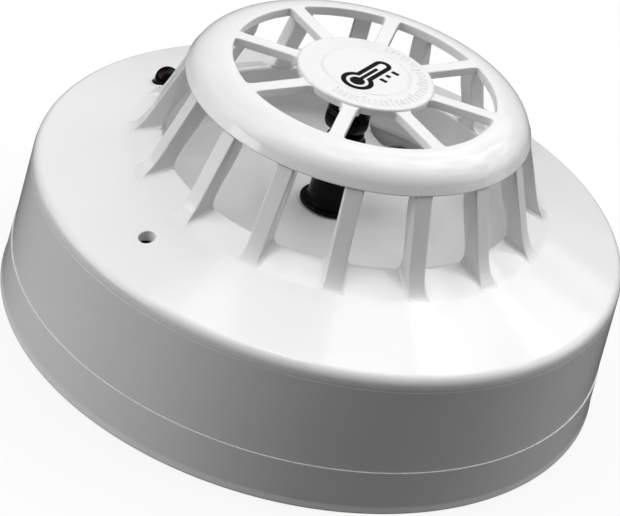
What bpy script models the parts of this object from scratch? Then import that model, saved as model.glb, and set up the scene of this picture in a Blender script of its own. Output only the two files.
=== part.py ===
"""Heat detector: a round twist-on head with an open sensing cage, on its mounting base.

Frame: metres, +Z up. The origin is the centre of the base's mounting face, and +Z
points out through the cage. In use the whole thing hangs from a ceiling, cage down.
Rest pose: the head is pushed fully into the base and not yet turned to lock.
Lengths below are millimetres until they reach a mesh, and angles are degrees.
"""

import math

import bmesh
import bpy
from mathutils import Matrix, Vector

MM = 0.001
GAP = 0.3                     # clearance kept between neighbouring pieces
FACETS = 48                   # facets round the big turned shapes
SMOOTH_DEG = 35.0             # edges sharper than this stay crisp
OPPOSITE = (0.0, 180.0)       # turns for features that face each other

# ---- dimensions shared by several pieces ---------------------------------
BASE_H = 7.3                  # base height
TWIST_DEG = 15.0              # turn that locks the head
LUG_DEG = (32.0, 150.0, 270.0)
TERMINAL_R = 26.5
TERMINAL_DEG = (50.0, 130.0, 230.0, 310.0, 90.0)   # the last is the earth
CONTACT_DEG = TERMINAL_DEG[:4]
CLAMP_HOLE_R = 1.65           # hole for a terminal screw
STUD_R = 34.0                 # where the head's contact studs stand
STUD_HOLE_R = 1.35
HEAD_SCREW_R, HEAD_SCREW_DEG = 25.4, 69.4
LOCK_R, LOCK_DEG = 39.6, -129.4   # grub screw and the hole that reaches it
LED_R, LED_DEG = 34.5, 154.9
LED_DOME_R = 2.1
PILLAR = (-0.4, -0.1)         # axis of the sensing pillar
BOARD_LOW, BOARD_TOP = 13.6, 15.2
ON_BOARD = BOARD_TOP + GAP    # where parts on the board start


def polar(radius, degrees):
    angle = math.radians(degrees)
    return radius * math.cos(angle), radius * math.sin(angle)


LED_SPOT = polar(LED_R, LED_DEG)
LOCK_SPOT = polar(LOCK_R, LOCK_DEG)
HEAD_SCREW_SPOTS = [polar(HEAD_SCREW_R, HEAD_SCREW_DEG + turn) for turn in OPPOSITE]
STUD_DEG = [degrees + TWIST_DEG for degrees in CONTACT_DEG]
STUD_SPOTS = [polar(STUD_R, degrees) for degrees in STUD_DEG]


# ---- empty scene ---------------------------------------------------------
for old_object in list(bpy.data.objects):
    bpy.data.objects.remove(old_object, do_unlink=True)
for old_mesh in list(bpy.data.meshes):
    bpy.data.meshes.remove(old_mesh)


# ---- materials -----------------------------------------------------------
def material(name, colour, roughness, metallic=0.0):
    made = bpy.data.materials.new(name)
    made.use_nodes = True
    shader = made.node_tree.nodes["Principled BSDF"]
    shader.inputs["Base Color"].default_value = (*colour, 1.0)
    shader.inputs["Roughness"].default_value = roughness
    shader.inputs["Metallic"].default_value = metallic
    made.diffuse_color = (*colour, 1.0)
    return made


def metal(name, colour, roughness):
    return material(name, colour, roughness, metallic=1.0)


WHITE = (0.86, 0.86, 0.85)
BLACK = (0.012, 0.012, 0.013)

BASE_WHITE = material("base_plastic", WHITE, roughness=0.38)
COVER_WHITE = material("cover_plastic", WHITE, roughness=0.28)
CHASSIS_WHITE = material("chassis_plastic", WHITE, roughness=0.42)
HOLDER_BLACK = material("holder_plastic", BLACK, roughness=0.22)
TIP_EPOXY = material("tip_epoxy", BLACK, roughness=0.16)
SEAL_RUBBER = material("seal_rubber", colour=(0.55, 0.55, 0.54), roughness=0.7)
LAMINATE = material("board_laminate", colour=(0.05, 0.22, 0.09), roughness=0.45)
CAN_SLEEVE = material("capacitor_sleeve", colour=(0.03, 0.04, 0.08), roughness=0.3)
CHIP_EPOXY = material("chip_epoxy", colour=(0.02, 0.02, 0.022), roughness=0.5)
RESISTOR_TAN = material("resistor_body", colour=(0.55, 0.40, 0.24), roughness=0.45)
DIODE_BLACK = material("diode_body", colour=(0.03, 0.03, 0.03), roughness=0.4)
BEAD_EPOXY = material("bead_epoxy", colour=(0.10, 0.03, 0.02), roughness=0.35)
LED_LENS = material("led_lens", colour=(0.02, 0.008, 0.008), roughness=0.08)
TERMINAL_STEEL = metal("terminal_screw_steel", colour=(0.62, 0.62, 0.60), roughness=0.30)
CLAMP_STEEL = metal("clamp_plate_steel", colour=(0.66, 0.65, 0.62), roughness=0.34)
SPRING_STEEL = metal("contact_spring_steel", colour=(0.60, 0.60, 0.59), roughness=0.26)
STUD_STEEL = metal("contact_stud_steel", colour=(0.60, 0.60, 0.58), roughness=0.28)
TINNED_WIRE = metal("tinned_wire", colour=(0.70, 0.70, 0.68), roughness=0.3)
SCREW_STEEL = metal("head_screw_steel", colour=(0.45, 0.45, 0.45), roughness=0.3)
GRUB_STEEL = metal("grub_screw_steel", colour=(0.16, 0.16, 0.17), roughness=0.35)


# ---- outlines: lists of (x, y) -------------------------------------------
def arc(radius, angles, centre=(0.0, 0.0)):
    """Points at the given angles, which are in radians."""
    return [
        (centre[0] + radius * math.cos(angle), centre[1] + radius * math.sin(angle))
        for angle in angles
    ]


def sweep(first, last, steps):
    """Evenly spaced angles in radians, from two ends in degrees."""
    return [math.radians(first + (last - first) * i / steps) for i in range(steps + 1)]


def circle(radius, facets, centre=(0.0, 0.0), phase=0.0):
    return arc(radius, [phase + 2 * math.pi * i / facets for i in range(facets)], centre)


def rounded_rect(width, height, radius, steps):
    points = []
    for k, (side_x, side_y) in enumerate(((1, 1), (-1, 1), (-1, -1), (1, -1))):
        centre = (side_x * (width / 2 - radius), side_y * (height / 2 - radius))
        points += arc(radius, [math.pi / 2 * (k + i / steps) for i in range(steps + 1)], centre)
    return points


# ---- solids, as bmeshes --------------------------------------------------
def lathe(profile, facets=FACETS, centre=(0.0, 0.0)):
    """A closed (radius, z) outline turned about the vertical line through centre."""
    shape = bmesh.new()
    rings = []
    for radius, z in profile:
        if radius < 1e-6:
            pole = shape.verts.new((centre[0] * MM, centre[1] * MM, z * MM))
            rings.append([pole] * facets)
        else:
            points = circle(radius, facets, centre)
            rings.append([shape.verts.new((x * MM, y * MM, z * MM)) for x, y in points])
    for ring, following in zip(rings, rings[1:] + rings[:1]):
        if ring[0] is ring[1] and following[0] is following[1]:
            continue
        for i in range(facets):
            j = (i + 1) % facets
            corners = (ring[i], ring[j], following[j], following[i])
            # A pole repeats a corner, which leaves a triangle.
            shape.faces.new(list(dict.fromkeys(corners)))
    return shape


def skin(rings):
    """Closed rings of (x, y, z) joined in turn and capped at both ends."""
    shape = bmesh.new()
    rings = [[shape.verts.new((x * MM, y * MM, z * MM)) for x, y, z in ring] for ring in rings]
    shape.faces.new(rings[0])
    shape.faces.new(rings[-1])
    count = len(rings[0])
    for low, high in zip(rings, rings[1:]):
        for i in range(count):
            j = (i + 1) % count
            shape.faces.new([low[i], low[j], high[j], high[i]])
    return shape


def prism(outline, z0, z1):
    """An (x, y) outline extruded from z0 to z1."""
    return skin([[(x, y, z) for x, y in outline] for z in (z0, z1)])


def slab(outline, half):
    """An (x, z) outline given thickness 2 x half along Y."""
    return skin([[(x, y, z) for x, z in outline] for y in (-half, half)])


def box(x0, x1, y0, y1, z0, z1):
    return prism([(x0, y0), (x1, y0), (x1, y1), (x0, y1)], z0, z1)


def sector(r0, r1, z0, z1, first, last, steps):
    """A block between two radii and two azimuths."""
    angles = sweep(first, last, steps)
    return prism(arc(r1, angles) + arc(r0, angles[::-1]), z0, z1)


def turned(shape, degrees):
    shape.transform(Matrix.Rotation(math.radians(degrees), 4, "Z"))
    return shape


def moved(shape, spot):
    shape.transform(Matrix.Translation(Vector((*spot, 0.0)) * MM))
    return shape


def rod(radius, facets, z0, z1, spot=(0.0, 0.0)):
    """An upright cylinder at an (x, y) spot."""
    return moved(prism(circle(radius, facets), z0, z1), spot)


def cross_recess(top, depth, half_width, reach):
    """The two bars of a cross-head driver slot."""
    heights = (top - depth, top + 1.0)
    return (
        box(-reach, reach, -half_width, half_width, *heights),
        box(-half_width, half_width, -reach, reach, *heights),
    )


# ---- bmeshes to objects --------------------------------------------------
def finish_mesh(shape):
    bmesh.ops.recalc_face_normals(shape, faces=shape.faces)
    mesh = bpy.data.meshes.new("part")
    shape.to_mesh(mesh)
    shape.free()
    return mesh


def link(name, mesh):
    obj = bpy.data.objects.new(name, mesh)
    bpy.context.scene.collection.objects.link(obj)
    return obj


def make_object(name, shape):
    return link(name, finish_mesh(shape))


def gather(parts):
    """Several separate closed shapes in one, for one Boolean."""
    whole = bmesh.new()
    for part in parts:
        mesh = finish_mesh(part)
        whole.from_mesh(mesh)
        bpy.data.meshes.remove(mesh)
    return whole


def gather_rods(radius, facets, z0, z1, spots):
    return gather([rod(radius, facets, z0, z1, spot) for spot in spots])


def gather_turned(make, turns):
    """One shape from make() for each turn about the axis."""
    return gather([turned(make(), degrees) for degrees in turns])


def combine(obj, shape, operation):
    """Joins shape to obj, or cuts it away, and keeps the result as obj's own mesh."""
    tool = make_object("tool", shape)
    boolean = obj.modifiers.new("join", "BOOLEAN")
    boolean.operation = operation
    boolean.solver = "EXACT"
    boolean.object = tool
    bpy.context.view_layer.update()
    graph = bpy.context.evaluated_depsgraph_get()
    mesh = bpy.data.meshes.new_from_object(obj.evaluated_get(graph))
    obj.modifiers.remove(boolean)
    old, obj.data = obj.data, mesh
    tool_mesh = tool.data
    bpy.data.objects.remove(tool, do_unlink=True)
    bpy.data.meshes.remove(old)
    bpy.data.meshes.remove(tool_mesh)


def join(obj, *parts):
    for part in parts:
        combine(obj, part, "UNION")


def cut(obj, *parts):
    for part in parts:
        combine(obj, part, "DIFFERENCE")


def tidy(obj, surface):
    """Gives the piece its material and its smooth shading."""
    mesh = obj.data
    mesh.name = obj.name
    mesh.materials.clear()
    mesh.materials.append(surface)
    mesh.shade_smooth()
    mesh.set_sharp_from_angle(angle=math.radians(SMOOTH_DEG))


def solid(name, shape, surface):
    tidy(make_object(name, shape), surface)


def place_copies(first, places):
    """Puts first, named ..._1, and copies that share its mesh at ((x, y), turn) places."""
    stem = first.name.removesuffix("1")
    for number, (spot, degrees) in enumerate(places, start=1):
        piece = first if number == 1 else link(f"{stem}{number}", first.data)
        piece.location = Vector((*spot, 0.0)) * MM
        piece.rotation_euler = (0.0, 0.0, math.radians(degrees))


# ---- mounting base and seal ----------------------------------------------
BASE_R = 50.0                 # largest radius, just above the mounting face
BASE_BORE_R = 11.0            # central opening
BASE_PLATE = 2.0              # thickness of the back plate
BASE_ROOT_Z = BASE_PLATE - 0.4    # features on the plate start inside it
COLLAR_R, COLLAR_TOP = 12.4, 3.4  # collar round the central opening
LEDGE_R, LEDGE_Z = 47.9, 5.9      # outer edge and height of the seal's ledge
BASE_INNER_R = 45.8
STOP_TOP = 5.5                # top of the tabs' end stops and of the lock rib
FIXING_R = (25.5, 34.5)       # ends of a fixing slot, 51 to 69 mm between centres
FIXING_HALF_W = 2.2

BASE_PROFILE = [              # (radius, z)
    (BASE_BORE_R, 0.0), (49.6, 0.0), (BASE_R, 0.5), (49.45, 6.95), (49.1, BASE_H),
    (LEDGE_R, BASE_H), (LEDGE_R, LEDGE_Z), (BASE_INNER_R, LEDGE_Z),
    (BASE_INNER_R, BASE_PLATE), (COLLAR_R, BASE_PLATE), (COLLAR_R, COLLAR_TOP),
    (BASE_BORE_R, COLLAR_TOP),
]


def terminal_boss():
    outline = rounded_rect(8.0, 7.6, radius=0.8, steps=2)
    return moved(prism(outline, BASE_ROOT_Z, 3.2), (TERMINAL_R, 0.0))


def fixing_slot():
    inner, outer = FIXING_R
    outline = arc(FIXING_HALF_W, sweep(-90, 90, 6), (outer, 0.0))
    outline += arc(FIXING_HALF_W, sweep(90, 270, 6), (inner, 0.0))
    return prism(outline, -1.0, 3.0)


def build_base():
    base = make_object("base_moulding", lathe(BASE_PROFILE))
    # Bayonet tabs that the head's lugs turn under, each with an end stop.
    middles = [lug - TWIST_DEG for lug in LUG_DEG]
    tabs = [sector(42.5, 46.4, 4.3, 5.7, mid - 6.5, mid + 6.5, 4) for mid in middles]
    stops = [
        sector(42.6, 46.5, BASE_ROOT_Z, STOP_TOP, mid - 8.3, mid - 6.2, 1) for mid in middles
    ]
    join(base, gather(tabs), gather(stops))
    # The rib that the locking screw stands behind.
    join(base, sector(37.5, 43.5, BASE_ROOT_Z, STOP_TOP, -140.0, -135.0, 2))
    join(base, gather_turned(terminal_boss, TERMINAL_DEG))
    cut(
        base,
        gather_turned(lambda: rod(CLAMP_HOLE_R, 10, 0.8, 4.0, (TERMINAL_R, 0.0)), TERMINAL_DEG),
        gather_turned(fixing_slot, OPPOSITE),
    )
    tidy(base, BASE_WHITE)


def build_seal():
    """The seal ring, lying over the base's ledge."""
    inner, outer, low = 46.1, LEDGE_R - GAP, LEDGE_Z + GAP
    profile = [(inner, low), (outer, low), (outer, 7.1), (47.3, BASE_H), (inner, BASE_H)]
    solid("seal_ring", lathe(profile), SEAL_RUBBER)


# ---- terminals: screw, clamp plate and contact spring --------------------
TERMINAL_SCREW_TOP = 6.95
TERMINAL_SCREW_PROFILE = [    # (radius, z)
    (0, 1.3), (1.3, 1.5), (1.3, 5.3), (2.6, 5.3), (2.6, 6.2), (2.0, 6.85),
    (0, TERMINAL_SCREW_TOP),
]
CLAMP_SIDE = 6.2
SPRING_HALF_W = 2.1
# Lower edge of the spring, (radius, z): flat under the clamp, then up to a nose.
SPRING_EDGE = [(23.3, 3.5), (30.3, 3.5), (33.2, 5.85), (34.3, 6.5), (35.2, 6.5), (36.6, 5.7)]
SPRING_OFFSET = (0.1, 0.42)   # from the lower edge to the upper


def build_terminals():
    places = [(polar(TERMINAL_R, degrees), degrees) for degrees in TERMINAL_DEG]

    screw = make_object("terminal_screw_1", lathe(TERMINAL_SCREW_PROFILE, 12))
    cut(screw, *cross_recess(TERMINAL_SCREW_TOP, depth=0.9, half_width=0.3, reach=1.5))
    tidy(screw, TERMINAL_STEEL)
    place_copies(screw, places)

    outline = rounded_rect(CLAMP_SIDE, CLAMP_SIDE, radius=0.5, steps=2)
    clamp = make_object("terminal_clamp_1", prism(outline, 4.2, 5.0))
    cut(clamp, rod(CLAMP_HOLE_R, 12, 3.0, 6.0))
    tidy(clamp, CLAMP_STEEL)
    place_copies(clamp, places)


def build_springs():
    shift_x, shift_z = SPRING_OFFSET
    upper_edge = [(x + shift_x, z + shift_z) for x, z in reversed(SPRING_EDGE)]
    spring = make_object("contact_spring_1", slab(SPRING_EDGE + upper_edge, SPRING_HALF_W))
    cut(spring, rod(CLAMP_HOLE_R, 12, 2.0, 4.6, (TERMINAL_R, 0.0)))
    tidy(spring, SPRING_STEEL)
    place_copies(spring, [((0.0, 0.0), degrees) for degrees in CONTACT_DEG])


# ---- front cover: wall, slope, sensing bowl and cage in one moulding ------
HEAD_Z = BASE_H + GAP         # lower edge of the wall
HEAD_R = 49.2                 # wall radius at its lower edge
SHOULDER_R, SHOULDER_Z = 48.45, 22.2
RIM_R, RIM_Z = 29.3, 30.6     # edge of the sensing bowl
FLOOR_Z = 22.6                # top of the bowl's floor
FLOOR_T = 1.4                 # its thickness
BOWL_R = 27.7                 # inner radius of the bowl's wall at the floor
COVER_PROFILE = [             # (radius, z)
    # Outer face, up the wall and in to the rim.
    (47.3, HEAD_Z), (49.0, HEAD_Z), (HEAD_R, 7.9), (SHOULDER_R, SHOULDER_Z), (48.0, 23.35),
    (47.2, 24.2), (45.9, 24.95), (34.3, 28.4), (29.9, 30.4), (RIM_R, RIM_Z), (28.75, 30.3),
    # Inside of the bowl.
    (BOWL_R + 0.25, FLOOR_Z + 2.0), (BOWL_R - 0.4, FLOOR_Z + 0.6), (BOWL_R - 1.8, FLOOR_Z),
    (0.0, FLOOR_Z),
    # Underside, back out to the wall.
    (0.0, FLOOR_Z - FLOOR_T), (BOWL_R - 0.2, FLOOR_Z - FLOOR_T), (29.2, FLOOR_Z + 0.4),
    (30.2, 28.0), (34.5, 26.5), (45.7, 23.1), (46.4, 22.0),
]

FINS, FIN_FIRST_DEG, FIN_W = 16, 6.0, 2.75
FIN_PROFILE = [               # (radius, z), up the outer edge and down the inner
    (34.1, 28.2), (32.4, 30.0), (31.3, 32.0), (29.8, 36.3), (28.8, 39.2), (27.4, 43.2),
    (25.4, 43.6), (25.2, 40.5), (27.4, 36.0), (28.7, 33.0), (29.4, 28.7),
]
RING_IN_R, RING_OUT_R = 21.05, 27.7
RING_TOP, RING_LOW = 46.6, 42.7
RING_PROFILE = [              # (radius, z)
    (RING_IN_R, RING_TOP), (23.5, 46.45), (25.4, 45.8), (26.8, 44.55), (RING_OUT_R, RING_LOW),
    (26.3, RING_LOW), (25.7, 44.1), (23.6, 45.1), (RING_IN_R, 45.2),
]
SPOKES, SPOKE_FIRST_DEG, SPOKE_W = 8, -5.25, 2.3
SPOKE_R0, SPOKE_R1, SPOKE_LOW = 9.5, 22.0, 45.35   # ends lie inside hub and ring
HUB_R, HUB_Z = 10.9, 47.1
HUB_PROFILE = [               # (radius, z), with a fine groove in its top
    (0, 45.7), (10.6, 45.7), (HUB_R, 46.0), (HUB_R, 46.8), (10.5, HUB_Z), (7.2, 47.3),
    (7.0, 47.1), (6.8, 47.3), (0, 47.4),
]

POCKET_C = (15.15, 31.84)     # centre of the arc that bounds each screw pocket
POCKET_R = 13.0
POCKET_WALL = 1.2
HOLE_Z = (20.0, 32.0)         # heights of the cuts through the slope


def pocket(radius, clip_r, z0, z1, turn):
    """The part of a disc round POCKET_C that lies within clip_r of the axis."""
    centre_x, centre_y = POCKET_C
    distance = math.hypot(centre_x, centre_y)
    middle = math.atan2(centre_y, centre_x)
    spread = math.acos((clip_r**2 + distance**2 - radius**2) / (2 * clip_r * distance))
    outline = arc(clip_r, [middle + spread * (1 - i / 5) for i in range(11)])
    start, end = [
        math.atan2(y - centre_y, x - centre_x) for x, y in (outline[-1], outline[0])
    ]
    while end > start:
        end -= 2 * math.pi
    outline += arc(radius, [start + (end - start) * i / 10 for i in range(1, 10)], POCKET_C)
    return turned(prism(outline, z0, z1), turn)


def cage_top():
    """Ring, spokes and hub, merged into one shape."""
    top = make_object("ring_tool", lathe(RING_PROFILE))
    spokes = gather_turned(
        lambda: box(SPOKE_R0, SPOKE_R1, -SPOKE_W / 2, SPOKE_W / 2, SPOKE_LOW, RING_TOP),
        [SPOKE_FIRST_DEG + k * 360.0 / SPOKES for k in range(SPOKES)],
    )
    join(top, spokes, lathe(HUB_PROFILE, 32))
    shape = bmesh.new()
    shape.from_mesh(top.data)
    bpy.data.objects.remove(top, do_unlink=True)
    return shape


def build_cover():
    cover = make_object("front_cover", lathe(COVER_PROFILE))
    fin_turns = [FIN_FIRST_DEG + k * 360.0 / FINS for k in range(FINS)]
    join(cover, gather_turned(lambda: slab(FIN_PROFILE, FIN_W / 2), fin_turns))
    join(cover, cage_top())
    # Two wells in the bowl's floor, open to a narrow groove under the wall, hold the screws.
    for turn in OPPOSITE:
        join(cover, pocket(POCKET_R + POCKET_WALL, BOWL_R + 1.6, 19.0, 22.2, turn))
    for turn in OPPOSITE:
        cut(
            cover,
            pocket(POCKET_R, BOWL_R + 0.7, 20.2, FLOOR_Z + 0.3, turn),
            pocket(POCKET_R, BOWL_R + 0.02, 20.6, 24.4, turn),
        )
    # Holes for the head screws, the pillar, the lamp and the locking key.
    cut(
        cover,
        gather_rods(1.75, 12, 17.0, 21.5, HEAD_SCREW_SPOTS),
        rod(3.4, 20, 20.0, 24.0, PILLAR),
        rod(LED_DOME_R + GAP, 20, *HOLE_Z, LED_SPOT),
        rod(1.28, 16, *HOLE_Z, LOCK_SPOT),
    )
    tidy(cover, COVER_WHITE)


# ---- rear chassis --------------------------------------------------------
CHASSIS_LOW, CHASSIS_TOP = 9.6, 11.2   # its main plate
CHASSIS_PROFILE = [           # (radius, z)
    (0, CHASSIS_LOW), (39.4, CHASSIS_LOW), (40.0, 8.0), (46.6, 8.0), (46.3, 12.5),
    (45.1, 12.5), (45.1, 9.6), (41.2, 9.6), (40.6, CHASSIS_TOP), (0, CHASSIS_TOP),
]
LUG_LOW = 2.6
PEG_R = 31.0
PEG_DEG = (12.0, 172.0, -68.0)


def build_chassis():
    chassis = make_object("rear_chassis", lathe(CHASSIS_PROFILE, 40))
    # Bayonet lugs: a leg reaching down into the base, and a foot turned outwards.
    legs = [sector(40.4, 42.1, LUG_LOW, 8.8, lug - 5.5, lug + 5.5, 3) for lug in LUG_DEG]
    feet = [sector(40.5, 45.3, LUG_LOW, 4.0, lug - 5.3, lug + 5.3, 3) for lug in LUG_DEG]
    join(chassis, gather(legs), gather(feet))
    # Screw posts and board pegs, then rests for the studs and the grub screw's boss.
    posts = [rod(3.0, 16, 10.2, 18.7, spot) for spot in HEAD_SCREW_SPOTS]
    pegs = [rod(1.6, 10, 10.3, BOARD_LOW - GAP, polar(PEG_R, degrees)) for degrees in PEG_DEG]
    join(
        chassis,
        gather(posts + pegs),
        gather_rods(2.5, 12, 8.2, 10.4, STUD_SPOTS),
        rod(3.2, 16, 8.25, 13.0, LOCK_SPOT),
    )
    bores = [rod(1.7, 12, 11.9, 20.0, spot) for spot in HEAD_SCREW_SPOTS]
    bores += [rod(STUD_HOLE_R, 10, 7.0, 12.0, spot) for spot in STUD_SPOTS]
    bores += [rod(1.8, 12, 7.0, 14.0, LOCK_SPOT)]
    cut(chassis, gather(bores))
    tidy(chassis, CHASSIS_WHITE)


def build_studs():
    """Contact studs that meet the base's springs when the head is locked."""
    head = prism(rounded_rect(4.4, 8.2, radius=1.2, steps=3), 7.25, 7.85)
    stud = make_object("contact_stud_1", head)
    join(stud, rod(1.0, 10, 7.6, 16.0))
    tidy(stud, STUD_STEEL)
    place_copies(stud, zip(STUD_SPOTS, STUD_DEG))


# ---- circuit board and what stands on it ---------------------------------
BOARD_R = 36.5
CAN_SPOT = (-13.0, 8.0)
CAN_PROFILE = [               # (radius, z)
    (0, ON_BOARD), (3.0, ON_BOARD), (3.15, 15.8), (3.15, 20.1), (2.9, 20.4), (2.4, 20.5),
    (0, 20.4),
]
CHIP_X, CHIP_Y = 13.5, -2.0
PIN_PITCH = 2.3
PIN_ROW_Y = 3.3               # each row of pins from the chip's middle
PIN_SHIFT_Y = -0.2            # both rows together
LEG_TOP = 17.0                # where pins and legs end, inside their bodies
TRANSISTOR_X, TRANSISTOR_Y = 3.0, -17.0
TRANSISTOR_LEGS = [(-0.9, -0.6), (0.0, 0.9), (0.9, -0.6)]   # (x, y) from its axis
BEAD_X, BEAD_Y = -6.5, -14.0
BEAD_PROFILE = [(0, 17.4), (0.9, 17.5), (1.5, 18.2), (1.5, 19.2), (0.9, 19.9), (0, 20.0)]

# Two-lead parts: body radius, body length, lead pitch, waist as a share of the
# body radius, material.
RESISTOR = (1.15, 6.0, 9.6, 0.86, RESISTOR_TAN)
DIODE = (1.3, 4.6, 8.6, 1.0, DIODE_BLACK)
SUPPRESSOR = (1.6, 5.6, 9.6, 1.0, DIODE_BLACK)
AXIAL_WIRE_R = 0.3
AXIAL_PARTS = [               # name, kind, x, y, turn
    ("resistor_1", RESISTOR, 12.0, 8.5, 0.0),
    ("resistor_2", RESISTOR, 12.0, 13.0, 0.0),
    ("resistor_3", RESISTOR, -14.0, -4.5, 90.0),
    ("resistor_4", RESISTOR, -19.0, -5.5, 90.0),
    ("diode_1", DIODE, 12.5, -10.0, 20.0),
    ("diode_2", DIODE, -3.0, 18.0, 0.0),
    ("surge_suppressor", SUPPRESSOR, 20.5, -17.5, 60.0),
]


def build_board():
    board = make_object("circuit_board", prism(circle(BOARD_R, 40), BOARD_LOW, BOARD_TOP))
    holes = [rod(3.4, 14, 12.0, 17.0, spot) for spot in HEAD_SCREW_SPOTS]
    holes += [rod(STUD_HOLE_R, 10, 12.0, 17.0, spot) for spot in STUD_SPOTS]
    cut(board, gather(holes))
    tidy(board, LAMINATE)


def build_chip():
    outline = rounded_rect(9.4, 6.2, radius=0.3, steps=1)
    chip = make_object("amplifier_ic", moved(prism(outline, 16.0, 18.6), (CHIP_X, CHIP_Y)))
    pins = []
    for k in range(4):
        for side in (-1, 1):
            x = CHIP_X + (k - 1.5) * PIN_PITCH
            y = CHIP_Y + side * PIN_ROW_Y + PIN_SHIFT_Y
            pins.append(moved(box(-0.35, 0.35, -0.5, 0.9, ON_BOARD, LEG_TOP), (x, y)))
    join(chip, gather(pins))
    tidy(chip, CHIP_EPOXY)


def build_transistor():
    """A round body with one flat side, towards -Y, on three legs."""
    body = prism(arc(2.3, sweep(-30, 210, 10)), 16.2, 20.4)
    switch = make_object("alarm_transistor", moved(body, (TRANSISTOR_X, TRANSISTOR_Y)))
    spots = [(TRANSISTOR_X + x, TRANSISTOR_Y + y) for x, y in TRANSISTOR_LEGS]
    join(switch, gather_rods(0.3, 6, ON_BOARD, LEG_TOP, spots))
    tidy(switch, CHIP_EPOXY)


def build_axial(name, kind, x, y, degrees):
    """A two-lead part lying on the board, its leads bent down at both ends."""
    body_r, body_length, pitch, waist, surface = kind
    z = ON_BOARD + body_r + 0.5
    end = body_length / 2
    body = lathe(
        [
            (0, -end), (body_r * 0.8, -end), (body_r, -end + 0.4), (body_r * waist, 0.0),
            (body_r, end - 0.4), (body_r * 0.8, end), (0, end),
        ],
        10,
    )
    tip = pitch / 2 + AXIAL_WIRE_R
    wire = lathe([(0, -tip), (AXIAL_WIRE_R, -tip), (AXIAL_WIRE_R, tip), (0, tip)], 6)
    for shape in (body, wire):
        shape.transform(Matrix.Rotation(math.pi / 2, 4, "Y"))
    outline = circle(AXIAL_WIRE_R, 6, phase=math.pi / 6)
    bends = [
        moved(prism(outline, ON_BOARD - z, 0.1), (side * pitch / 2, 0.0)) for side in (-1, 1)
    ]
    obj = make_object(name, body)
    join(obj, wire, gather(bends))
    turn = Matrix.Rotation(math.radians(degrees), 4, "Z")
    obj.data.transform(Matrix.Translation(Vector((x, y, z)) * MM) @ turn)
    tidy(obj, surface)


def build_reference_thermistor():
    bead = lathe(BEAD_PROFILE, 12, centre=(BEAD_X, BEAD_Y))
    reference = make_object("reference_thermistor", bead)
    spots = [(BEAD_X + side * 0.7, BEAD_Y) for side in (-1, 1)]
    join(reference, gather_rods(0.28, 6, ON_BOARD, 18.2, spots))
    tidy(reference, BEAD_EPOXY)


# ---- sensing pillar ------------------------------------------------------
HOLDER_BORE_R = 1.2
HOLDER_LOW, HOLDER_TOP = 16.2, 36.3
HOLDER_PROFILE = [            # (radius, z)
    (HOLDER_BORE_R, HOLDER_LOW), (3.0, HOLDER_LOW), (3.0, 22.9), (4.82, 22.9), (4.82, 23.3),
    (4.5, 23.5), (3.8, 23.6), (3.2, 35.1), (2.7, 35.7), (2.7, HOLDER_TOP),
    (HOLDER_BORE_R, HOLDER_TOP),
]
# The sensing tip: a small eight-sided block, longer towards -X, as (x, y) points.
TIP = [
    (-4.1, 1.5), (-4.1, -1.5), (-2.3, -3.1), (1.3, -3.1),
    (2.9, -1.6), (2.9, 1.6), (1.3, 3.1), (-2.3, 3.1),
]
TIP_LEVELS = [                # (scale, z)
    (0.66, 36.6), (0.9, 37.2), (1.0, 38.3), (1.0, 39.4), (0.9, 40.3), (0.6, 41.0),
]


def build_pillar():
    solid("thermistor_holder", lathe(HOLDER_PROFILE, 20, centre=PILLAR), HOLDER_BLACK)
    middle = sum(x for x, _ in TIP) / len(TIP)
    rings = [
        [(middle + (x - middle) * scale, y * scale, z) for x, y in TIP]
        for scale, z in TIP_LEVELS
    ]
    solid("thermistor_tip", moved(skin(rings), PILLAR), TIP_EPOXY)
    for number, side in enumerate((-1, 1), start=1):
        spot = (PILLAR[0] + side * 0.6, PILLAR[1])
        lead = rod(0.28, 8, ON_BOARD, HOLDER_TOP, spot)
        solid(f"thermistor_lead_{number}", lead, TINNED_WIRE)


# ---- alarm lamp ----------------------------------------------------------
LED_LOW, LED_FLANGE_R = 22.6, 2.35
LED_PROFILE = [               # (radius, z)
    (0, LED_LOW), (LED_FLANGE_R, LED_LOW), (LED_FLANGE_R, 23.5), (LED_DOME_R, 23.6),
    (LED_DOME_R, 28.6), (1.95, 29.4), (1.5, 30.1), (0.8, 30.55), (0, 30.7),
]
LED_LEAD_OFFSET = 1.1         # each lead from the lamp's axis, along the tangent


def build_lamp():
    solid("alarm_led", lathe(LED_PROFILE, 20, centre=LED_SPOT), LED_LENS)
    radial_x, radial_y = polar(1.0, LED_DEG)
    for number, side in enumerate((-1, 1), start=1):
        offset = side * LED_LEAD_OFFSET
        spot = (LED_SPOT[0] + offset * radial_y, LED_SPOT[1] - offset * radial_x)
        lead = rod(0.25, 6, ON_BOARD, LED_LOW - GAP, spot)
        solid(f"led_lead_{number}", lead, TINNED_WIRE)


# ---- screws of the head --------------------------------------------------
HEAD_SCREW_TOP = 22.1
HEAD_SCREW_PROFILE = [        # (radius, z)
    (0, 12.3), (0.9, 12.3), (1.4, 13.0), (1.4, 20.5), (2.5, 20.5), (2.5, 21.0), (2.2, 21.6),
    (1.4, 21.95), (0, HEAD_SCREW_TOP),
]
HEAD_SCREW_TURN = 25.0
GRUB_PROFILE = [(0, 6.2), (0.8, 6.2), (1.5, 6.9), (1.5, 12.0), (1.3, 12.2), (0, 12.2)]


def build_head_screws():
    screw = make_object("head_screw_1", lathe(HEAD_SCREW_PROFILE, 16))
    cut(screw, *cross_recess(HEAD_SCREW_TOP, depth=1.0, half_width=0.34, reach=1.55))
    tidy(screw, SCREW_STEEL)
    place_copies(screw, [(spot, HEAD_SCREW_TURN) for spot in HEAD_SCREW_SPOTS])


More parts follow.
